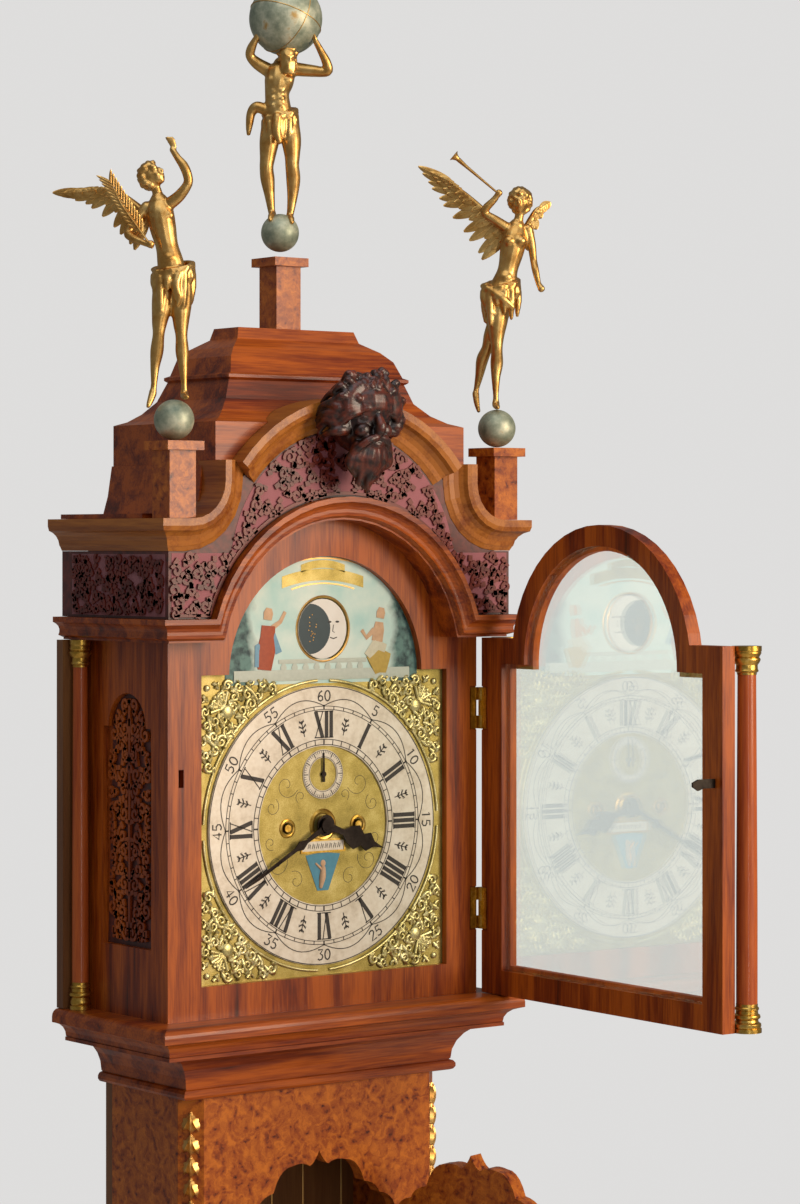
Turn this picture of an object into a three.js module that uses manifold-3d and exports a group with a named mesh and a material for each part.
// A Dutch longcase clock with an arched hood, as an assembly of separate pieces.
// Millimetres, +Z up, the front faces -Y. The origin is on the floor, at the middle of the back board's
// bottom edge. The hood door and the trunk door stand open, as in use for winding.
import * as THREE from "three";
import { mergeVertices } from "three/addons/utils/BufferGeometryUtils.js";
import Module from "manifold-3d";

const wasm = await Module();
wasm.setup();

// ---------------------------------------------------------------- driving dimensions

const fit = 0.3; // clearance between pieces that are cut to each other
const ledgeZ = 1730; // top of the ledge that the hood's walls stand on

// back board
const backT = 12;
const backFront = -backT / 2;
const backRear = backT / 2;
const wingHalf = 222.9; // half-width of the wings behind the rear columns

// base
const footH = 95;
const baseTopZ = 560;
const baseHalf = 205;
const baseDepth = 189; // from the back board's middle to the front of the base, at its top
const baseBulge = 30;
const baseWall = 16;
const capH = 40; // height of the moulding between base and trunk
const capOverhang = 42;

// trunk
const trunkHalf = 163;
const trunkFront = -147;
const trunkCant = 19;
const trunkWall = 14;
const trunkTopZ = ledgeZ - 81;
const doorwayHalf = 100;
const doorwayBottomZ = 700;
const trunkDoorGap = 1.2;
const trunkDoorT = 18;
const trunkDoorAngle = 105;

// throat and seat board
const throatOverhang = 50;
const hoodBaseH = 30;
const cheekRise = 40; // how far the trunk's sides rise above the ledge
const seatT = 20;

// hood walls
const hoodHalf = 197;
const hoodFront = -161; // front plane of the dial mask
const hoodSideT = 14;
const wallH = 379.5;
const maskT = 7.5;
const maskArchR = 168;
const frontStep = 11; // the mouldings' front run stands this far in front of the dial mask
const backGap = 1; // hood walls stop this far from the back board's wings
const hoodRear = backRear - 0.5;

// arches, all measured from the ledge
const archZ = ledgeZ + 352; // centre of the door arch and of the arched moulding
const archInner = 150.6;
const lowerMouldH = 23.3;
const friezeH = 67.6;
const corniceH = 32.4;
const corniceArchR = 144.6;
const corniceArchZ = ledgeZ + 450;
const sweepR = 38; // radius of the hollow sweep between the cornice's corner and its arch
const sweepX = corniceArchR + 53.4; // centre of the sweep, so that it meets the arch's foot
const sweepTopZ = ledgeZ + 561;

// openings in the dial mask
const openHalf = 156.5;
const openBottom = 33;
const openTop = 345.5;
const openArchR = 123;
const openArchZ = 342;

// hood door, in the closed position
const doorFreeX = -192;
const doorHingeX = hoodHalf;
const doorT = 16;
const doorGap = 1;
const doorBottom = 1;
const doorTop = 378;
const doorArchR = 145;
const doorOpenHalf = 157;
const doorOpenBottom = 32;
const doorOpenTop = 346;
const doorOpenArchR = 118.5;
const rebate = 5;
const glassT = 3;
const pinX = hoodHalf + 4;
const pinY = hoodFront - 4;
const doorAngle = 88;

// columns
const shaftR = 10.5;
const rearShaftR = 8.5;
const capitalH = 28;
const columnFlare = 4.5;
const rearFlare = 2.7;
const rearColumnX = 209.5;
const rearColumnY = -18;

// dial and movement
const dialZ = ledgeZ + 187.4;
const dialT = 2.5;
const dialFront = hoodFront + maskT + 0.8;
const ringOuter = 144;
const ringInner = 82;
const ringT = 2;
const secondsZ = ledgeZ + 240;
const moonZ = ledgeZ + 390;
const moonR = 31;
const windX = 45;
const windZ = ledgeZ + 186;
const plateFrontY = hoodFront + 45;
const plateRearY = hoodFront + 107;
const plateT = 3;
const plateHalf = 78;
const plateTopZ = ledgeZ + 276;
const barrelR = 25;
const arborZ = ledgeZ + 270; // axis of the anchor and of the pendulum
const pendulumY = -34;
const pendulumL = 994;
const bobR = 65;
const bobT = 26;
const lineR = 0.9;
const lineY = -90;
const weightPulleyZ = 1330;
const weightR = 30;
const weightH = 190;
const bellR = 46;
const bellZ = ledgeZ + 306;
const hammerX = -55;
const hammerZ = ledgeZ + 235;

// finials
const ballR = 20;
const globeR = 38.8;
const plinthHalf = 15.5;
const cornerPlinthX = 205.5;
const cornerPlinthY = hoodFront - 24;
const plinthH = 67;
const plinthCapH = 9;
const plinthCapOut = 6;
const topPlinthY = hoodFront + 84;

// ---------------------------------------------------------------- solids

const root = new THREE.Group();

function solid(geometry) {
  const g = geometry.clone();
  g.deleteAttribute("normal");
  g.deleteAttribute("uv");
  const merged = mergeVertices(g, 1e-4);
  const index = merged.index.array;
  return new wasm.Manifold(
    new wasm.Mesh({
      numProp: 3,
      vertProperties: new Float32Array(merged.attributes.position.array),
      triVerts: new Uint32Array(index),
    }),
  );
}

function geometryOf(body) {
  const mesh = body.getMesh();
  const g = new THREE.BufferGeometry();
  const positions = new Float32Array(mesh.numVert * 3);
  for (let i = 0; i < mesh.numVert; i++) {
    positions.set(mesh.vertProperties.subarray(i * mesh.numProp, i * mesh.numProp + 3), i * 3);
  }
  g.setAttribute("position", new THREE.BufferAttribute(positions, 3));
  g.setIndex(new THREE.BufferAttribute(new Uint32Array(mesh.triVerts), 1));
  return g;
}

function join(...parts) {
  return parts.map((p) => (p.isBufferGeometry ? solid(p) : p)).reduce((a, b) => a.add(b));
}

function cut(body, ...tools) {
  const from = body.isBufferGeometry ? solid(body) : body;
  return tools.map((t) => (t.isBufferGeometry ? solid(t) : t)).reduce((a, b) => a.subtract(b), from);
}

function add(name, shape, material, parent = root) {
  const geometry = shape.isBufferGeometry ? shape : geometryOf(shape);
  const mesh = new THREE.Mesh(geometry, new THREE.MeshStandardMaterial({ ...material, name }));
  mesh.name = name;
  parent.add(mesh);
  return mesh;
}

function box(x0, x1, y0, y1, z0, z1) {
  const g = new THREE.BoxGeometry(x1 - x0, y1 - y0, z1 - z0);
  return g.translate((x0 + x1) / 2, (y0 + y1) / 2, (z0 + z1) / 2);
}

// A closed outline of [x, y] points or a THREE.Shape.
function shapeOf(outline) {
  return Array.isArray(outline) ? new THREE.Shape(outline.map(([x, y]) => new THREE.Vector2(x, y))) : outline;
}

function extrude(outline, depth, segments = 12) {
  return new THREE.ExtrudeGeometry(shapeOf(outline), { depth, bevelEnabled: false, curveSegments: segments });
}

// Outline in X and Y, standing from z0 to z1.
function slabZ(outline, z0, z1, segments) {
  return extrude(outline, z1 - z0, segments).translate(0, 0, z0);
}

// Outline in X and Z, running from y0 (front) to y1 (back).
function slabY(outline, y0, y1, segments) {
  return extrude(outline, y1 - y0, segments)
    .rotateX(Math.PI / 2)
    .translate(0, y1, 0);
}

// Outline in Y and Z, running from x0 to x1.
function slabX(outline, x0, x1, segments) {
  const turn = new THREE.Matrix4().makeBasis(
    new THREE.Vector3(0, 1, 0),
    new THREE.Vector3(0, 0, 1),
    new THREE.Vector3(1, 0, 0),
  );
  return extrude(outline, x1 - x0, segments).applyMatrix4(turn).translate(x0, 0, 0);
}

// A turned piece about a vertical axis: profile of [radius, height], bottom first, closed on the axis.
function turned(profile, x, y, z, segments = 20) {
  const points = profile.map(([r, h]) => new THREE.Vector2(r, h));
  return new THREE.LatheGeometry(points, segments).rotateX(Math.PI / 2).translate(x, y, z);
}

// A rod along Y from y0 (front) to y1 (back).
function rodY(radius, x, z, y0, y1, segments = 16) {
  return new THREE.CylinderGeometry(radius, radius, y1 - y0, segments).translate(x, (y0 + y1) / 2, z);
}

function rodZ(radius, x, y, z0, z1, segments = 16) {
  return new THREE.CylinderGeometry(radius, radius, z1 - z0, segments)
    .rotateX(Math.PI / 2)
    .translate(x, y, (z0 + z1) / 2);
}

// A tapered limb with round ends, from a to b.
function limb(a, ra, b, rb, segments = 6) {
  const from = new THREE.Vector3(...a);
  const to = new THREE.Vector3(...b);
  const length = from.distanceTo(to);
  const turn = new THREE.Quaternion().setFromUnitVectors(
    new THREE.Vector3(0, 1, 0),
    to.clone().sub(from).normalize(),
  );
  const profile = [[0, -ra], [0.8 * ra, -0.6 * ra], [ra, 0], [rb, length], [0.8 * rb, length + 0.6 * rb],
    [0, length + rb]];
  const points = profile.map(([r, h]) => new THREE.Vector2(r, h));
  return solid(new THREE.LatheGeometry(points, segments).applyQuaternion(turn).translate(from.x, from.y, from.z));
}

function ellipsoid(rx, ry, rz, x, y, z, segments = 14) {
  return new THREE.SphereGeometry(1, segments, Math.round(segments * 0.7))
    .rotateX(Math.PI / 2)
    .scale(rx, ry, rz)
    .translate(x, y, z);
}

// A solid through equal rings of points, closed with flat ends.
function skin(rings) {
  const count = rings[0].length;
  const flat = rings.flat().flatMap((p) => [p.x, p.y, p.z]);
  const index = [];
  for (let i = 0; i + 1 < rings.length; i++) {
    for (let j = 0; j < count; j++) {
      const k = (j + 1) % count;
      const a = i * count + j;
      const b = i * count + k;
      index.push(a, b, b + count, a, b + count, a + count);
    }
  }
  return { flat, index, count };
}

function closedSkin(rings, capTriangles) {
  const { flat, index, count } = skin(rings);
  const last = (rings.length - 1) * count;
  for (const [a, b, c] of capTriangles) {
    index.push(a, c, b);
    index.push(last + a, last + b, last + c);
  }
  const g = new THREE.BufferGeometry();
  g.setAttribute("position", new THREE.BufferAttribute(new Float32Array(flat), 3));
  g.setIndex(index);
  const made = solid(g);
  if (made.volume() > 0) return made;
  for (let i = 0; i < index.length; i += 3) [index[i + 1], index[i + 2]] = [index[i + 2], index[i + 1]];
  g.setIndex(index);
  return solid(g);
}

// Sweeps a profile of [out, up] points through stations, each a function of (out, up) that gives a point.
function sweep(profile, stations) {
  const rings = stations.map((at) => profile.map(([out, up]) => at(out, up)));
  const caps = THREE.ShapeUtils.triangulateShape(
    profile.map(([x, y]) => new THREE.Vector2(x, y)),
    [],
  );
  return closedSkin(rings, caps);
}

// A box whose sides follow levels of [z, halfWidth, frontY, backY].
function tapered(levels) {
  const rings = levels.map(([z, half, front, back]) => [
    new THREE.Vector3(-half, front, z),
    new THREE.Vector3(half, front, z),
    new THREE.Vector3(half, back, z),
    new THREE.Vector3(-half, back, z),
  ]);
  return closedSkin(rings, [
    [0, 1, 2],
    [0, 2, 3],
  ]);
}

const at = (x, y, z) => new THREE.Vector3(x, y, z);

// Stations of a U-shaped moulding: along one side, across the front and back along the other side.
function uStations(half, front, rear, z, frontShare = 1) {
  return [
    (o, u) => at(-half - o, rear, z + u),
    (o, u) => at(-half - o, front - o * frontShare, z + u),
    (o, u) => at(half + o, front - o * frontShare, z + u),
    (o, u) => at(half + o, rear, z + u),
  ];
}

// Points of a round stretch of a profile, from angle a to angle b in degrees.
function arcPoints(cx, cy, r, a, b, steps = 4) {
  return Array.from({ length: steps + 1 }, (_, i) => {
    const t = THREE.MathUtils.degToRad(a + ((b - a) * i) / steps);
    return [cx + r * Math.cos(t), cy + r * Math.sin(t)];
  });
}

// ---------------------------------------------------------------- finishes

const finish = (color, roughness, metalness = 0) => ({ color, roughness, metalness });
const wood = finish(0x8f3a18, 0.35);
const darkWood = finish(0x4a1d12, 0.45);
const burl = finish(0x8a3a12, 0.3);
const brass = finish(0xb59a4a, 0.35, 1);
const gilt = finish(0xc9932f, 0.35, 1);
const silvered = finish(0xd8cdbb, 0.45, 0.6);
const steel = finish(0x3b3a3c, 0.4, 1);
const verdigris = finish(0x8e9a80, 0.6, 0.3);
const clearGlass = { ...finish(0xe8efec, 0.05), transparent: true, opacity: 0.25 };
const gut = finish(0xc9a15c, 0.6);

// ---------------------------------------------------------------- base and trunk

function bulgeAt(share) {
  return baseBulge * Math.sin(Math.PI * Math.min(1, share * 1.25 + 0.05)) ** 2;
}

function baseLevels(inset, fromZ, toZ, back, steps = 8) {
  return Array.from({ length: steps + 1 }, (_, i) => {
    const z = fromZ + ((toZ - fromZ) * i) / steps;
    const share = Math.max(0, (baseTopZ - z) / (baseTopZ - footH));
    const out = bulgeAt(share) - inset;
    return [z, baseHalf + out, -baseDepth - out, back];
  });
}

function makeBase() {
  const outer = tapered(baseLevels(0, footH, baseTopZ, backFront));
  const hollow = tapered(baseLevels(baseWall, footH + baseWall, baseTopZ + 1, backFront + 1));
  add("base_carcass", cut(outer, hollow), burl);

  const clawR = 36;
  const footX = baseHalf - 22;
  for (const [side, name] of [[-1, "left"], [1, "right"]]) {
    const ball = turned([[0, 0], [22, 0], [clawR, 22], [clawR, 46], [24, 66], [30, 84], [46, footH], [0, footH]],
      side * footX, -baseDepth + 20, 0, 16);
    add("foot_front_" + name, ball, darkWood);
    const x = side * (footX - 6);
    add("foot_rear_" + name, box(x - 28, x + 28, -78, -22, 0, footH), darkWood);
  }

  const profile = [[fit, 0], [capOverhang, 0], [capOverhang, 10],
    ...arcPoints(capOverhang - 4, 36, 24, -90, -180, 5), [6, 36], [6, capH], [fit, capH]];
  add("base_cap_moulding", sweep(profile, uStations(trunkHalf, trunkFront, hoodRear, baseTopZ)), wood);
}

function makeBackBoard() {
  const rise = ledgeZ - hoodBaseH;
  const innerHalf = hoodHalf - frontStep - 1;
  const half = [[baseHalf, 0], [baseHalf, baseTopZ - 1], [trunkHalf, baseTopZ - 1], [trunkHalf, rise],
    [trunkHalf, ledgeZ + 0.5], [wingHalf, ledgeZ + 0.5], [wingHalf, ledgeZ + wallH - 0.5],
    [innerHalf, ledgeZ + wallH - 0.5], [innerHalf, ledgeZ + wallH + lowerMouldH + friezeH + corniceH - 4]];
  const outline = [...half, ...half.map(([x, z]) => [-x, z]).reverse()];
  add("back_board", slabY(outline, backFront, backRear), darkWood);
}

// Half of the shaped head of the trunk doorway, from the crown to the side, as offsets from the ledge.
function doorwayShape(grow) {
  const s = new THREE.Shape();
  const z = (h) => ledgeZ + h + grow;
  const half = doorwayHalf + grow;
  const bottom = doorwayBottomZ - grow;
  s.moveTo(-half, bottom);
  s.lineTo(half, bottom);
  s.lineTo(half, z(-226));
  s.quadraticCurveTo(half - 2, z(-204), 78 + grow, z(-201));
  s.quadraticCurveTo(74 + grow, z(-190), 58 + grow, z(-187));
  s.quadraticCurveTo(50 + grow, z(-162), 34, z(-162));
  s.quadraticCurveTo(20, z(-158), 12, z(-164));
  s.quadraticCurveTo(6, z(-162), 0, z(-149.5));
  s.quadraticCurveTo(-6, z(-162), -12, z(-164));
  s.quadraticCurveTo(-20, z(-158), -34, z(-162));
  s.quadraticCurveTo(-50 - grow, z(-162), -58 - grow, z(-187));
  s.quadraticCurveTo(-74 - grow, z(-190), -78 - grow, z(-201));
  s.quadraticCurveTo(-half + 2, z(-204), -half, z(-226));
  s.closePath();
  return s;
}

function makeTrunk() {
  const cheekTop = ledgeZ + cheekRise;
  const sideFront = trunkFront + trunkCant;
  for (const [side, name] of [[-1, "left"], [1, "right"]]) {
    const x = side * (trunkHalf - trunkWall / 2);
    const half = trunkWall / 2;
    add("trunk_side_" + name, box(x - half, x + half, sideFront, backFront, baseTopZ, cheekTop), burl);
  }
  const t = 16;
  const lap = trunkHalf - trunkWall;
  const halfSection = [[trunkHalf - trunkCant, trunkFront], [trunkHalf, sideFront - fit], [lap, sideFront - fit],
    [lap - 8, trunkFront + t]];
  const section = [...halfSection, ...halfSection.map(([x, y]) => [-x, y]).reverse()];
  const panel = slabZ(section, baseTopZ, trunkTopZ + 51);
  const doorway = slabY(doorwayShape(0), trunkFront - 5, trunkFront + t + 5, 5);
  add("trunk_front_frame", cut(panel, doorway), burl);

  const topRise = ledgeZ - hoodBaseH - trunkTopZ;
  const bead = [[fit, 0], [5, 0], ...arcPoints(5, 5.5, 5.5, -90, 90, 5), [5, 12],
    ...arcPoints(throatOverhang - 6, 12, throatOverhang - 12, 180, 90, 6).map(([o, u]) => [o, Math.min(u, topRise - 4)]),
    [throatOverhang, topRise - 4], [throatOverhang, topRise - fit], [fit, topRise - fit]];
  add("throat_moulding", sweep(bead, uStations(trunkHalf, trunkFront, hoodRear, trunkTopZ, 0.82)), wood);

  const seatTop = cheekTop + seatT;
  const board = box(-trunkHalf, trunkHalf, plateFrontY - 12, plateRearY + 14, cheekTop, seatTop);
  const slots = [];
  for (const side of [-1, 1]) {
    const x0 = side * windX;
    slots.push(box(x0 - barrelR - 8, x0 + barrelR + 8, lineY - 8, lineY + 8, cheekTop - 1, seatTop + 1));
  }
  slots.push(box(-12, 12, pendulumY - 12, plateRearY + 20, cheekTop - 1, seatTop + 1));
  add("seat_board", cut(board, ...slots), darkWood);
}

function makeTrunkDoor() {
  const pivot = new THREE.Group();
  pivot.position.set(doorwayHalf + 5, trunkFront - 6, 0);
  pivot.rotation.z = THREE.MathUtils.degToRad(trunkDoorAngle);
  const door = slabY(doorwayShape(-trunkDoorGap), trunkFront, trunkFront + trunkDoorT, 5);
  door.translate(-pivot.position.x, -pivot.position.y, 0);
  add("trunk_door", door, burl, pivot);
  root.add(pivot);
}

// ---------------------------------------------------------------- hood

const pathFront = hoodFront - frontStep;
const inner = -frontStep;

// A moulding that follows the arch across the front and returns along both sides.
function archStations(z, radius, centreZ, steps = 20) {
  const side = uStations(hoodHalf, pathFront, hoodRear, z);
  const arch = Array.from({ length: steps + 1 }, (_, i) => (o, u) => {
    const r = radius + u;
    const reach = Math.acos((z + u - centreZ) / r);
    const angle = -reach + (2 * reach * i) / steps;
    return at(r * Math.sin(angle), pathFront - o, centreZ + r * Math.cos(angle));
  });
  return [side[0], side[1], ...arch, side[2], side[3]];
}

function grown(profile, by) {
  const top = Math.max(...profile.map(([, u]) => u));
  return profile.map(([o, u]) => [o <= inner ? o - by : o + by, u <= 0 ? u - by : u >= top ? u + by : u]);
}

const lowerProfile = [[inner, 0], [18, 0], [18, 2], ...arcPoints(31, 9, 8, 215, 120, 4), [31, 18], [31, lowerMouldH],
  [inner, lowerMouldH]];
const corniceProfile = [[inner, 0], [20, 0], [22, 4], ...arcPoints(40, 4, 17, 175, 105, 4), [37, 25],
  [37, corniceH], [inner, corniceH]];
const friezeZ = ledgeZ + wallH + lowerMouldH;
const corniceZ = friezeZ + friezeH;
const corniceTop = corniceZ + corniceH;

const lowerMoulding = (profile) => sweep(profile, archStations(ledgeZ + wallH, archInner, archZ));

// The cornice: side returns, hollow sweeps and the arch. Extra raises the tops of the sweeps.
function cornice(profile, extra = 0) {
  const sweepZ = corniceTop + sweepR;
  const wing = (side) => {
    const [rear, corner] = uStations(hoodHalf, pathFront, hoodRear, corniceZ);
    const start = (o, u) => at(-Math.max(hoodHalf + o, sweepX + 0.2), pathFront - o, corniceZ + u);
    const bend = Array.from({ length: 7 }, (_, i) => (o, u) => {
      const r = sweepR + corniceH - u;
      const t = THREE.MathUtils.degToRad(-90 + 15 * i);
      return at(-sweepX + r * Math.cos(t), pathFront - o, sweepZ + r * Math.sin(t));
    });
    const top = (o, u) => at(-sweepX + sweepR + corniceH - u, pathFront - o, sweepTopZ + extra);
    const mirrored = (stations) => stations.map((s) => (o, u) => s(o, u).multiply(at(side, 1, 1)));
    return join(sweep(profile, mirrored([rear, corner])), sweep(profile, mirrored([start, ...bend, top])));
  };
  const reach = 52;
  const steps = 18;
  const arch = Array.from({ length: steps + 1 }, (_, i) => (o, u) => {
    const t = THREE.MathUtils.degToRad(-reach + (2 * reach * i) / steps);
    const r = corniceArchR + u;
    return at(r * Math.sin(t), pathFront - o, corniceArchZ + r * Math.cos(t));
  });
  return join(wing(-1), wing(1), sweep(profile, arch));
}

const corniceEnvelope = cornice(grown(corniceProfile, fit), fit);
const lowerEnvelope = lowerMoulding(grown(lowerProfile, fit));

function archedOpening(half, bottom, top, radius, centre, grow = 0) {
  const r = radius + grow;
  const shoulder = top + grow;
  const x = Math.sqrt(Math.max(1, r * r - (shoulder - centre) ** 2));
  const start = Math.atan2(shoulder - centre, x);
  const s = new THREE.Shape();
  s.moveTo(-half - grow, ledgeZ + bottom - grow);
  s.lineTo(half + grow, ledgeZ + bottom - grow);
  s.lineTo(half + grow, ledgeZ + shoulder);
  s.lineTo(x, ledgeZ + shoulder);
  s.absarc(0, ledgeZ + centre, r, start, Math.PI - start, false);
  s.lineTo(-half - grow, ledgeZ + shoulder);
  s.closePath();
  return s;
}

function makeHoodWalls() {
  const base = [[-20, 0], [-20, -hoodBaseH], [14, -hoodBaseH], ...arcPoints(30, -hoodBaseH, 15, 180, 100, 4), [32, -14],
    ...arcPoints(24, -8, 8, 0, 90, 4)];
  add("hood_base_moulding", sweep(base, uStations(hoodHalf, pathFront, hoodRear, ledgeZ)), wood);

  const wallTop = ledgeZ + wallH;
  const rear = backFront - backGap;
  const sideFront = hoodFront + maskT;
  const window = archedWindow();
  for (const [side, name] of [[-1, "left"], [1, "right"]]) {
    const x0 = side < 0 ? -hoodHalf : hoodHalf - hoodSideT;
    const wall = box(x0, x0 + hoodSideT, sideFront, rear, ledgeZ, wallTop);
    const recess = 6;
    const sink = side < 0 ? slabX(window, -hoodHalf - 1, -hoodHalf + recess, 8) : slabX(window, hoodHalf - recess,
      hoodHalf + 1, 8);
    add("hood_side_" + name, cut(wall, sink), burl);
    const column = columnShape(rearShaftR, rearFlare, side * rearColumnX, rearColumnY, ledgeZ + fit, wallH - 2 * fit, 10);
    add("rear_column_" + name, column, wood);
  }

  const opening = slabY(archedOpening(openHalf, openBottom, openTop, openArchR, openArchZ), hoodFront - 1,
    hoodFront + maskT + 1, 20);
  const behind = hoodHalf - frontStep - fit;
  const plate = join(
    box(-hoodHalf, hoodHalf, hoodFront, sideFront, ledgeZ, wallTop),
    box(-behind, behind, hoodFront, sideFront, wallTop - 1, corniceZ),
    rodY(maskArchR, 0, archZ, hoodFront, sideFront, 32),
  );
  const slot = box(doorFreeX + 8, doorFreeX + 14, hoodFront - 1, sideFront + 1, ledgeZ + 234, ledgeZ + 252);
  const mortises = hingeZs().map((z) => box(pinX - 13, hoodHalf + 1, hoodFront - 1, hoodFront + 1.2, z - 23, z + 23));
  add("dial_mask", cut(plate, opening, slot, ...mortises), wood);
}

function archedWindow() {
  const front = hoodFront + 30;
  const rear = hoodFront + 119;
  const spring = ledgeZ + 292;
  const shoulder = 10;
  const s = new THREE.Shape();
  s.moveTo(front, ledgeZ + 70);
  s.lineTo(rear, ledgeZ + 70);
  s.lineTo(rear, spring);
  s.lineTo(rear - shoulder, spring);
  s.absarc((front + rear) / 2, spring, (rear - front) / 2 - shoulder, 0, Math.PI, false);
  s.lineTo(front, spring);
  s.closePath();
  return s;
}

function hingeZs() {
  return [ledgeZ + 303, ledgeZ + 90];
}

// A turned column with a brass base and capital: shaft radius, flare of its ends, place, foot and height.
function columnShape(r, flare, x, y, z, h, segments = 14) {
  const wide = r + flare;
  return turned([[0, 0], [wide, 0], [wide, 6], [r + 1.5, 9], [r + 2.5, 16], [r + 1.5, capitalH - 4], [r, capitalH],
    [r * 0.9, h - capitalH], [r + 1.5, h - capitalH + 3], [r + 1, h - 12], [wide, h - 5], [wide, h], [0, h]],
  x, y, z, segments);
}

function makeHoodTop() {
  add("hood_arch_moulding", lowerMoulding(lowerProfile), wood);
  add("hood_cornice", cornice(corniceProfile), wood);

  const front = pathFront - 19.5;
  const bottom = friezeZ;
  const sweepZ = corniceTop + sweepR;
  const discs = [-1, 1].map((side) => rodY(sweepR + 17, side * sweepX, sweepZ, front - 1, hoodFront + 1, 32));
  const board = join(
    box(-hoodHalf - 19.5, hoodHalf + 19.5, front, hoodFront, bottom, corniceZ + 8),
    cut(box(-sweepX, sweepX, front, hoodFront, bottom, sweepZ), ...discs),
    rodY(corniceArchR + 14, 0, corniceArchZ, front, hoodFront, 40),
  );
  const sides = [-1, 1].map((side) => {
    const x = side < 0 ? -hoodHalf - 19.5 : hoodHalf - frontStep;
    return box(x, x + 19.5 + frontStep, hoodFront - 1, hoodRear, bottom, corniceZ + 8);
  });
  const under = rodY(archInner + lowerMouldH / 2, 0, archZ, front - 1, hoodFront + 1, 40);
  add("hood_frieze", cut(join(board, ...sides), under, lowerEnvelope, corniceEnvelope), darkWood);

  const arch = rodY(corniceArchR + corniceH + fit, 0, corniceArchZ, hoodFront - 70, hoodFront + fit, 48);
  const roofRear = hoodRear - 6;
  const roof = box(-222, 222, hoodFront + 8, roofRear, corniceTop + fit, corniceTop + 5);
  const tierTop = ledgeZ + 558;
  const tier = tapered([[corniceTop + 4, 171, hoodFront - 12, roofRear], [corniceTop + 24, 165, hoodFront - 8, roofRear],
    [tierTop, 160, hoodFront - 6, roofRear]]);
  const maskArch = rodY(maskArchR + fit, 0, archZ, hoodFront - 70, hoodFront + maskT + fit, 32);
  add("caddy_plinth", cut(join(roof, tier), arch, maskArch, corniceEnvelope), burl);

  const lower = tapered([[tierTop, 158, hoodFront - 27, roofRear], [ledgeZ + 600, 158, hoodFront - 27, roofRear],
    [ledgeZ + 604, 146, hoodFront - 15, roofRear - 8], [ledgeZ + 612, 133, hoodFront - 2, roofRear - 15],
    [ledgeZ + 625, 120, hoodFront + 10, roofRear - 24], [ledgeZ + 645, 112, hoodFront + 16, roofRear - 32]]);
  add("caddy_lower", cut(lower, arch, corniceEnvelope), burl);
  const mouldZ = ledgeZ + 645;
  const upper = tapered([[mouldZ, 112, hoodFront + 14, roofRear - 32], [mouldZ + 2, 115, hoodFront + 12, roofRear - 30],
    [mouldZ + 5, 115, hoodFront + 12, roofRear - 30], [mouldZ + 7, 110, hoodFront + 16, roofRear - 34],
    [mouldZ + 24, 104, hoodFront + 24, roofRear - 38], [mouldZ + 34, 94, hoodFront + 34, roofRear - 46],
    [mouldZ + 44, 78, hoodFront + 50, roofRear - 60], [mouldZ + 56, 74, hoodFront + 54, roofRear - 62]]);
  add("caddy_upper", upper, burl);

  plinth("finial_plinth_left", -cornerPlinthX, cornerPlinthY, corniceTop + fit);
  plinth("finial_plinth_right", cornerPlinthX, cornerPlinthY, corniceTop + fit);
  plinth("finial_plinth_top", 0, topPlinthY, mouldZ + 56);
  makeMaskCarving();
}

function plinth(name, x, y, z) {
  const h = plinthHalf;
  const cap = h + plinthCapOut;
  const body = join(
    box(x - h, x + h, y - h, y + h, z, z + plinthH),
    box(x - cap, x + cap, y - cap, y + cap, z + plinthH, z + plinthH + plinthCapH),
  );
  add(name, cut(body, corniceEnvelope), burl);
}

function makeMaskCarving() {
  const y = hoodFront - 58;
  const head = join(
    ellipsoid(36, 30, 44, 0, y, ledgeZ + 606),
    ellipsoid(44, 26, 34, 0, y + 12, ledgeZ + 626),
    limb([0, y - 4, ledgeZ + 588], 28, [0, y + 4, ledgeZ + 548], 17, 10),
    ellipsoid(9, 16, 15, 0, y - 26, ledgeZ + 604, 8),
  );
  const board = box(-60, 60, hoodFront - 31, hoodFront + 20, ledgeZ + 500, corniceArchZ + corniceArchR + 1);
  add("mask_carving", cut(head, board, corniceEnvelope), darkWood);
}

// ---------------------------------------------------------------- finial figures

// Figures are laid out in a plane turned towards the corner of the room: h across, z up, d towards the front.
const figureTurn = THREE.MathUtils.degToRad(-37.6);

function figurePoint(origin, [h, z, d = 0]) {
  const c = Math.cos(figureTurn);
  const s = Math.sin(figureTurn);
  return [origin[0] + h * c + d * s, origin[1] + h * s - d * c, origin[2] + z];
}

function figure(origin, limbs) {
  const parts = limbs.map(([a, ra, b, rb]) => limb(figurePoint(origin, a), ra, figurePoint(origin, b), rb));
  return join(ellipsoid(ballR, ballR, ballR, origin[0], origin[1], origin[2] - ballR, 14), ...parts);
}

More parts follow.
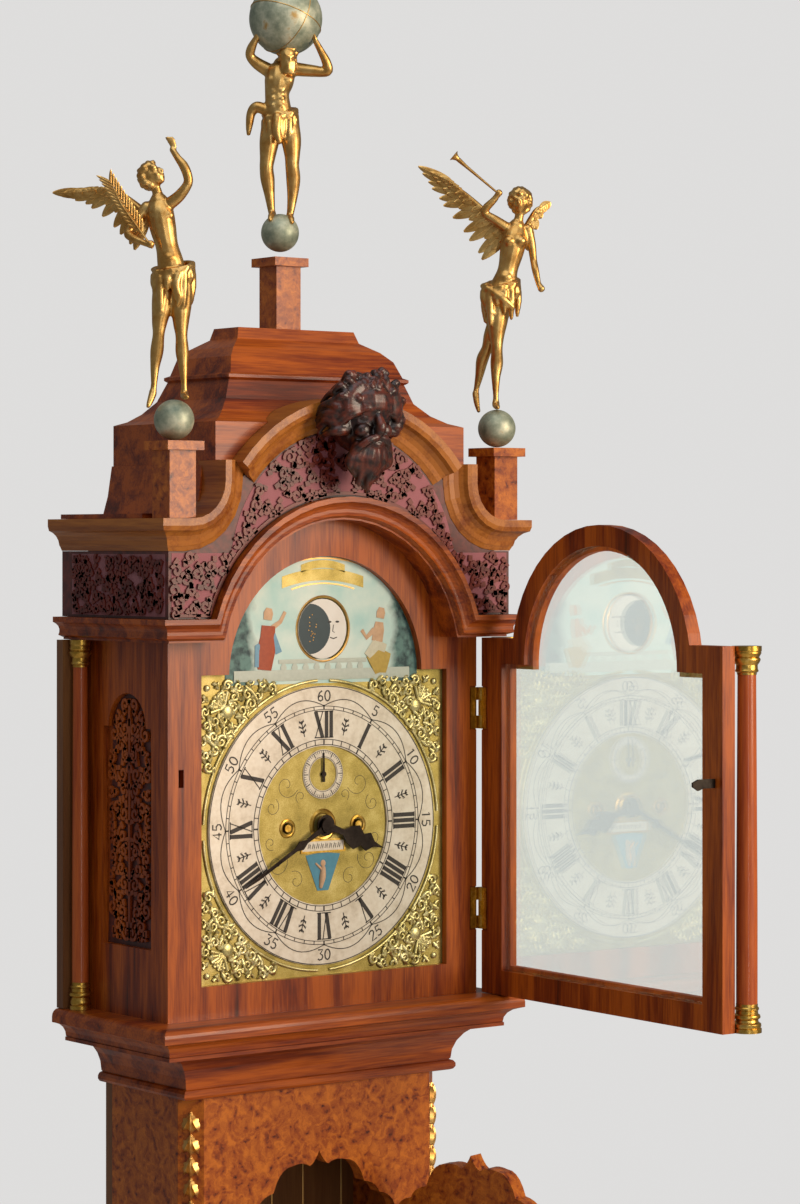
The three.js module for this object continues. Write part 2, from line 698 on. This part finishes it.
function makeFinials() {
  const left = [
    [[-1, 124], 15, [-8, 150], 11], [[-8, 150], 11, [-14, 186], 15], [[-14, 190], 8, [-21, 218], 12],
    [[-4, 198], 7, [8, 226], 5], [[8, 226], 5, [-6, 249], 5], [[-26, 190], 7, [-48, 158], 5],
    [[-48, 158], 5, [-27, 153], 4], [[-8, 120], 11, [-14, 66], 8], [[-14, 66], 8, [-20, 14], 4],
    [[-20, 14], 4, [-23, -4], 3], [[6, 118], 11, [7, 56], 8], [[7, 56], 8, [10, 2], 5],
    [[-30, 182, -8], 7, [-84, 192, -14], 6], [[-84, 192, -14], 6, [-134, 197, -18], 3],
    [[-34, 190, -10], 5, [-74, 216, -12], 3],
  ];
  const right = [
    [[3, 122], 15, [15, 150], 11], [[15, 150], 11, [19, 186], 14], [[20, 190], 7, [25, 220], 12],
    [[10, 200], 6, [-14, 208], 5], [[-14, 208], 5, [-1, 228], 4], [[32, 196], 6, [38, 156], 4],
    [[38, 156], 4, [45, 130], 4], [[3, 118], 11, [1, 63], 8], [[1, 63], 8, [-1, 1], 4],
    [[0, 116], 10, [-13, 67], 8], [[-13, 67], 8, [-22, 8], 4], [[1, 230], 3, [-30, 264], 6],
    [[13, 196, -6], 6, [-34, 240, -12], 7], [[-34, 240, -12], 7, [-74, 262, -16], 4],
    [[30, 204, -8], 5, [62, 213, -12], 3],
  ];
  const capTop = corniceTop + fit + plinthH + plinthCapH + 2 * ballR + 1;
  add("finial_figure_left", figure([-cornerPlinthX, cornerPlinthY, capTop], left), gilt);
  add("finial_figure_right", figure([cornerPlinthX, cornerPlinthY, capTop], right), gilt);

  const atlas = [
    [[0, 96], 15, [-3, 126], 13], [[-3, 126], 13, [0, 148], 16], [[2, 150], 8, [9, 164], 10],
    [[-14, 152], 7, [-29, 163], 5], [[-29, 163], 5, [-22, 182, 10], 4], [[17, 151], 7, [52, 147], 5],
    [[52, 147], 5, [38, 176, 10], 4], [[-7, 92], 11, [-14, 46], 8], [[-14, 46], 8, [-9, 2], 5],
    [[9, 92], 11, [13, 50], 8], [[13, 50], 8, [15, 3], 5], [[-28, 114], 6, [-32, 88], 4], [[-12, 104], 12, [-28, 114], 6],
  ];
  const atlasFoot = ledgeZ + 701 + plinthH + plinthCapH + 2 * ballR + 7;
  const origin = [0, topPlinthY, atlasFoot];
  const stem = rodZ(6, 0, topPlinthY, atlasFoot - 2 * ballR - 5, atlasFoot - 2 * ballR + 3, 10);
  const globeAt = figurePoint(origin, [6, 205]);
  const figureBody = join(figure(origin, atlas), stem);
  const seat = ellipsoid(globeR + fit, globeR + fit, globeR + fit, ...globeAt, 22);
  add("atlas_figure", cut(figureBody, seat), gilt);
  add("atlas_globe", ellipsoid(globeR, globeR, globeR, ...globeAt, 22), verdigris);
}

// ---------------------------------------------------------------- hood door

function makeHoodDoor() {
  const pivot = new THREE.Group();
  pivot.position.set(pinX, pinY, 0);
  pivot.rotation.z = THREE.MathUtils.degToRad(doorAngle);
  const inPivot = (body) => (body.isBufferGeometry ? solid(body) : body).translate([-pinX, -pinY, 0]);
  const back = hoodFront - doorGap;
  const front = back - doorT;

  const outline = join(
    box(doorFreeX, doorHingeX, front, back, ledgeZ + doorBottom, ledgeZ + doorTop),
    rodY(doorArchR, 0, archZ, front, back, 48),
  );
  const opening = archedOpening(doorOpenHalf, doorOpenBottom, doorOpenTop, doorOpenArchR, archZ - ledgeZ);
  const wider = archedOpening(doorOpenHalf, doorOpenBottom, doorOpenTop, doorOpenArchR, archZ - ledgeZ, rebate);
  const glassFront = back - doorT / 2;
  const leafCuts = hingeZs().map((z) => box(pinX - 13, doorHingeX + 1, back - 1.3, back + 1, z - 23, z + 23));
  const frame = cut(outline, slabY(opening, front - 1, back + 1, 20), slabY(wider, glassFront, back + 1, 20), ...leafCuts);
  add("hood_door_frame", inPivot(frame), wood, pivot);

  const pane = archedOpening(doorOpenHalf, doorOpenBottom, doorOpenTop, doorOpenArchR, archZ - ledgeZ, rebate - 2 * fit);
  const glass = slabY(pane, glassFront + fit, glassFront + fit + glassT, 20);
  add("hood_door_glass", inPivot(glass), clearGlass, pivot);

  const columnY = front - shaftR - columnFlare - fit;
  const h = doorTop - doorBottom;
  for (const [x, name] of [[doorFreeX, "free"], [doorHingeX, "hinge"]]) {
    const column = columnShape(shaftR, columnFlare, x, columnY, ledgeZ + doorBottom, h);
    add("door_column_" + name + "_side", inPivot(column), wood, pivot);
  }

  const hookX = doorFreeX + 11;
  const hook = [[back + 0.7, ledgeZ + 240], [back + 16, ledgeZ + 240], [back + 22, ledgeZ + 238], [back + 29, ledgeZ + 242],
    [back + 29, ledgeZ + 246], [back + 22, ledgeZ + 249], [back + 0.7, ledgeZ + 249]];
  add("door_catch_hook", inPivot(slabX(hook, hookX - 1.2, hookX + 1.2)), steel, pivot);

  hingeZs().forEach((z, i) => {
    const name = i ? "lower" : "upper";
    hinge(name, z, inPivot, pivot);
  });
  root.add(pivot);
}

// A butt hinge: the case leaf has two knuckles with a bore, the door leaf has the middle knuckle and the pin.
function hinge(name, z, inPivot, pivot) {
  const half = 22;
  const knuckleR = 3.6;
  const midHalf = 8;
  const edge = pinX - knuckleR - 0.5;
  const caseY = [hoodFront - 0.2, hoodFront + 0.8];
  const ends = [[-half, -midHalf - fit], [midHalf + fit, half]];
  const caseLeaf = join(
    box(pinX - 12, edge, ...caseY, z - half, z + half),
    ...ends.flatMap(([a, b]) => [
      rodZ(knuckleR, pinX, pinY, z + a, z + b, 14),
      box(edge - 1, pinX, ...[hoodFront - 0.2 - 0.8, hoodFront - 0.2 + 0.2], z + a, z + b),
    ]),
  );
  const bore = rodZ(1.9, pinX, pinY, z - half - 1, z + half + 1, 12);
  add("hood_hinge_" + name + "_case_leaf", cut(caseLeaf, bore), brass);
  const back = hoodFront - doorGap;
  const doorLeaf = join(
    box(pinX - 12, edge, back - 1, back, z - half, z + half),
    box(edge - 1, pinX, back - 1, back, z - midHalf, z + midHalf),
    rodZ(knuckleR, pinX, pinY, z - midHalf, z + midHalf, 14),
    rodZ(1.5, pinX, pinY, z - half, z + half, 12),
  );
  add("hood_hinge_" + name + "_door_leaf", inPivot(doorLeaf), brass, pivot);
}

// ---------------------------------------------------------------- dial and movement

function makeDial() {
  const plate = slabY(archedOpening(openHalf, openBottom, openTop, openArchR, openArchZ, 4.5), dialFront,
    dialFront + dialT, 20);
  const holes = [
    rodY(6, 0, dialZ, dialFront - 1, dialFront + dialT + 1, 16),
    rodY(2.5, 0, secondsZ, dialFront - 1, dialFront + dialT + 1, 10),
    rodY(moonR + 1.2, 0, moonZ, dialFront - 1, dialFront + dialT + 1, 32),
    ...[-1, 1].map((s) => rodY(6, s * windX, windZ, dialFront - 1, dialFront + dialT + 1, 12)),
  ];
  const feet = [-1, 1].flatMap((s) => [ledgeZ + 80, ledgeZ + 262].map((z) =>
    rodY(3, s * (plateHalf - 8), z, dialFront + dialT - 0.2, plateFrontY - fit, 8)));
  add("dial_plate", cut(join(plate, ...feet), ...holes), brass);
  const ring = cut(
    rodY(ringOuter, 0, dialZ, dialFront - fit - ringT, dialFront - fit, 72),
    rodY(ringInner, 0, dialZ, dialFront - ringT - 2, dialFront + 2, 48),
  );
  add("chapter_ring", ring, silvered);
  const moon = join(
    rodY(moonR, 0, moonZ, dialFront + 0.4, dialFront + 2.2, 32),
    rodY(3, 0, moonZ, dialFront + 2, dialFront + 14, 10),
  );
  add("moon_disc", moon, silvered);
}

function makeHands() {
  const hourLength = 80;
  const minuteLength = 118;
  const hourY = hoodFront + 2;
  const minuteY = hoodFront - 0.8;
  const z = (h) => dialZ + h;
  const hourHalf = [[4, z(6)], [3, z(24)], [9, z(32)], [13, z(42)], [6, z(50)], [10, z(58)], [3, z(66)]];
  const hour = [...hourHalf, [0, z(hourLength)], ...hourHalf.map(([x, h]) => [-x, h]).reverse()];
  const bore = rodY(3.1, 0, dialZ, hoodFront - 9, plateRearY, 12);
  const hourBlade = cut(
    join(slabY(hour, hourY, hourY + 1.5), rodY(11, 0, dialZ, hourY, hourY + 1.5, 20),
      rodY(5.2, 0, dialZ, hourY + 1, dialFront + 8, 14)),
    bore,
  );
  const turn = (body, angle) => body.translate([0, 0, -dialZ]).rotate([0, angle, 0]).translate([0, 0, dialZ]);
  add("hour_hand", turn(hourBlade, 110), steel);
  const minuteHalf = [[3, z(6)], [2, z(30)], [5, z(38)], [2, z(46)], [1.6, z(100)]];
  const minute = [...minuteHalf, [0, z(minuteLength)], ...minuteHalf.map(([x, h]) => [-x, h]).reverse()];
  const minuteBody = join(slabY(minute, minuteY, minuteY + 1.5), rodY(8, 0, dialZ, minuteY - 1.5, minuteY + 1.5, 18),
    rodY(2.5, 0, dialZ, minuteY, plateFrontY + plateT + 4, 12));
  add("minute_hand", turn(minuteBody, 240), steel);

  const wheelR = 21.1;
  const wheelY = plateRearY - 12;
  const tooth = Array.from({ length: 60 }, (_, i) => {
    const r = i % 2 ? wheelR : wheelR - 4;
    const t = (2 * Math.PI * i) / 60;
    return [r * Math.cos(t), secondsZ + r * Math.sin(t)];
  });
  const needle = [[-1.5, secondsZ - 8], [1.5, secondsZ - 8], [0.6, secondsZ + 22], [-0.6, secondsZ + 22]];
  const seconds = join(slabY(needle, dialFront - 2.6, dialFront - 1.8), rodY(3, 0, secondsZ, dialFront - 2.8,
    dialFront - 1.6, 10), rodY(1.5, 0, secondsZ, dialFront - 2.6, plateRearY + plateT + 1, 8),
  slabY(tooth, wheelY, wheelY + 2));
  add("seconds_hand", seconds, steel);
}

function makeMovement() {
  const bottom = ledgeZ + cheekRise + seatT;
  const holes = (r) => [
    rodY(3, 0, dialZ, plateFrontY - 1, plateFrontY + plateT + 1, 12),
    rodY(2, 0, secondsZ, plateFrontY - 1, plateRearY + plateT + 1, 10),
    rodY(2, 0, arborZ, plateFrontY - 1, plateRearY + plateT + 1, 10),
    rodY(2.4, hammerX, hammerZ, plateFrontY - 1, plateRearY + plateT + 1, 10),
    ...[-1, 1].map((s) => rodY(r, s * windX, windZ, plateFrontY - 1, plateRearY + plateT + 1, 14)),
  ];
  const plates = [plateFrontY, plateRearY].map((y) => box(-plateHalf, plateHalf, y, y + plateT, bottom, plateTopZ));
  const pillars = [-1, 1].flatMap((s) => [bottom + 14, plateTopZ - 14].map((z) =>
    rodY(5, s * (z > dialZ ? plateHalf - 10 : windX), z, plateFrontY + 1, plateRearY + 1, 10)));
  const cock = box(-14, 14, plateRearY + 1, pendulumY + 4, arborZ + 14, arborZ + 22);
  const frame = join(...plates, ...pillars, box(-14, 14, plateRearY + 1, plateRearY + plateT, arborZ + 4, arborZ + 22), cock);
  add("movement_frame", cut(frame, ...holes(4.4)), brass);

  for (const [side, name] of [[1, "going_barrel"], [-1, "strike_barrel"]]) {
    const x = side * windX;
    const drum = join(
      rodY(barrelR - 2, x, windZ, lineY - 12, lineY + 12, 28),
      rodY(barrelR + 2, x, windZ, lineY - 15, lineY - 12, 28),
      rodY(barrelR + 6, x, windZ, lineY + 12, lineY + 15, 32),
      rodY(4, x, windZ, dialFront - 2, plateRearY + plateT + 1, 12),
    );
    add(name, drum, brass);
  }

  const pallets = [[-18, arborZ - 14], [-14, arborZ - 13], [-3, arborZ - 2], [3, arborZ - 2], [14, arborZ - 13],
    [18, arborZ - 14], [6, arborZ + 7], [-6, arborZ + 7]];
  const palletY = plateRearY - 12;
  const crutchY = plateRearY + plateT + 3;
  const anchor = join(
    slabY(pallets, palletY, palletY + 3),
    rodY(1.6, 0, arborZ, plateFrontY + 1, crutchY + 2, 8),
    box(-2, 2, crutchY, crutchY + 2, arborZ - 110, arborZ + 3),
    box(-6, -4, crutchY, pendulumY + 4, arborZ - 110, arborZ - 106),
    box(4, 6, crutchY, pendulumY + 4, arborZ - 110, arborZ - 106),
    box(-6, 6, crutchY, crutchY + 2, arborZ - 110, arborZ - 106),
  );
  add("anchor_and_crutch", anchor, steel);

  const bobZ = arborZ - pendulumL;
  const bob = turned([[0, -bobT / 2], [bobR * 0.55, -bobT * 0.38], [bobR * 0.9, -bobT * 0.16], [bobR, 0],
    [bobR * 0.9, bobT * 0.16], [bobR * 0.55, bobT * 0.38], [0, bobT / 2]], 0, 0, 0, 28)
    .rotateX(Math.PI / 2)
    .translate(0, pendulumY, bobZ);
  const rod = join(bob, rodZ(2.5, 0, pendulumY, bobZ - bobR - 20, arborZ + 12, 8),
    rodZ(7, 0, pendulumY, bobZ - bobR - 16, bobZ - bobR - 8, 12));
  add("pendulum", rod, brass);

  for (const [side, name] of [[1, "going"], [-1, "strike"]]) {
    makeWeight(side, name);
  }

  const bellY = hoodFront + 78;
  const closed = turned([[0, 30], [7, 30], [7, 52], [4, 58], [0, 58]], 0, bellY, bellZ, 10);
  const post = join(
    rodZ(3, 0, bellY, bellZ + 8, bellZ + 40, 8),
    box(-3, 3, bellY, plateRearY + plateT + 4, bellZ + 8, bellZ + 12),
    box(-3, 3, plateRearY + plateT + fit, plateRearY + plateT + 4, arborZ + 24, bellZ + 12),
  );
  add("bell", join(bellDome(bellY), closed, post), brass);

  const hammer = join(
    rodY(2, hammerX, hammerZ, plateFrontY + 1, plateRearY + plateT + 1, 8),
    box(hammerX - 1.5, hammerX + 1.5, bellY - 1.5, bellY + 1.5, hammerZ, bellZ + 8),
    box(hammerX - 7, -bellR - 2.5, bellY - 5, bellY + 5, bellZ + 2, bellZ + 12),
  );
  add("bell_hammer", hammer, steel);
}

function bellDome(y) {
  const outer = turned([[0, 0], [bellR, 0], [bellR * 0.97, 16], [bellR * 0.8, 34], [bellR * 0.45, 46], [0, 50]], 0, y,
    bellZ, 24);
  const inside = turned([[0, -1], [bellR - 2, -1], [bellR * 0.97 - 2, 15], [bellR * 0.8 - 2, 32], [bellR * 0.45 - 2, 43],
    [0, 47]], 0, y, bellZ, 24);
  return cut(outer, inside);
}

function makeWeight(side, name) {
  const x = side * windX;
  const pulleyR = barrelR;
  const top = weightPulleyZ - pulleyR - 22;
  const slug = turned([[0, -weightH], [weightR - 2, -weightH], [weightR, -weightH + 4], [weightR, -6], [weightR - 4, 0],
    [0, 0]], x, lineY, top, 20);
  const fork = join(
    box(x - 5, x + 5, lineY - 7, lineY - 4, top + 6, weightPulleyZ + 6),
    box(x - 5, x + 5, lineY + 4, lineY + 7, top + 6, weightPulleyZ + 6),
    box(x - 5, x + 5, lineY - 7, lineY + 7, top + 6, top + 10),
    rodZ(3, x, lineY, top - 2, top + 8, 8),
  );
  const sheave = cut(
    join(rodY(pulleyR + 2, x, weightPulleyZ, lineY - 3, lineY + 3, 28), rodY(3, x, weightPulleyZ, lineY - 8, lineY + 8, 8)),
    cut(rodY(pulleyR + 4, x, weightPulleyZ, lineY - 1.5, lineY + 1.5, 28),
      rodY(pulleyR - lineR - 1.2, x, weightPulleyZ, lineY - 3, lineY + 3, 28)),
  );
  add("weight_" + name, join(slug, fork, sheave), brass);

  const topZ = ledgeZ + cheekRise + seatT;
  const points = [at(x + side * pulleyR, lineY, windZ - barrelR - 6)];
  for (let i = 0; i <= 8; i++) {
    const t = (Math.PI * i) / 8;
    points.push(at(x + side * pulleyR * Math.cos(t), lineY, weightPulleyZ - pulleyR * Math.sin(t)));
  }
  points.push(at(x - side * pulleyR, lineY, topZ));
  add("gut_line_" + name, lineTube(points), gut);
}

// A round line through points in one XZ plane, mitred at each point.
function lineTube(points, sides = 8) {
  const rings = points.map((p, i) => {
    const before = points[Math.max(0, i - 1)];
    const after = points[Math.min(points.length - 1, i + 1)];
    const along = after.clone().sub(before).normalize();
    const across = at(along.z, 0, -along.x);
    return Array.from({ length: sides }, (_, j) => {
      const t = (2 * Math.PI * j) / sides;
      return p.clone().addScaledVector(across, lineR * Math.cos(t)).add(at(0, lineR * Math.sin(t), 0));
    });
  });
  const caps = Array.from({ length: sides - 2 }, (_, i) => [0, i + 1, i + 2]);
  return closedSkin(rings, caps);
}

makeBase();
makeBackBoard();
makeTrunk();
makeTrunkDoor();
makeHoodWalls();
makeHoodTop();
makeFinials();
makeHoodDoor();
makeDial();
makeHands();
makeMovement();

export default root;
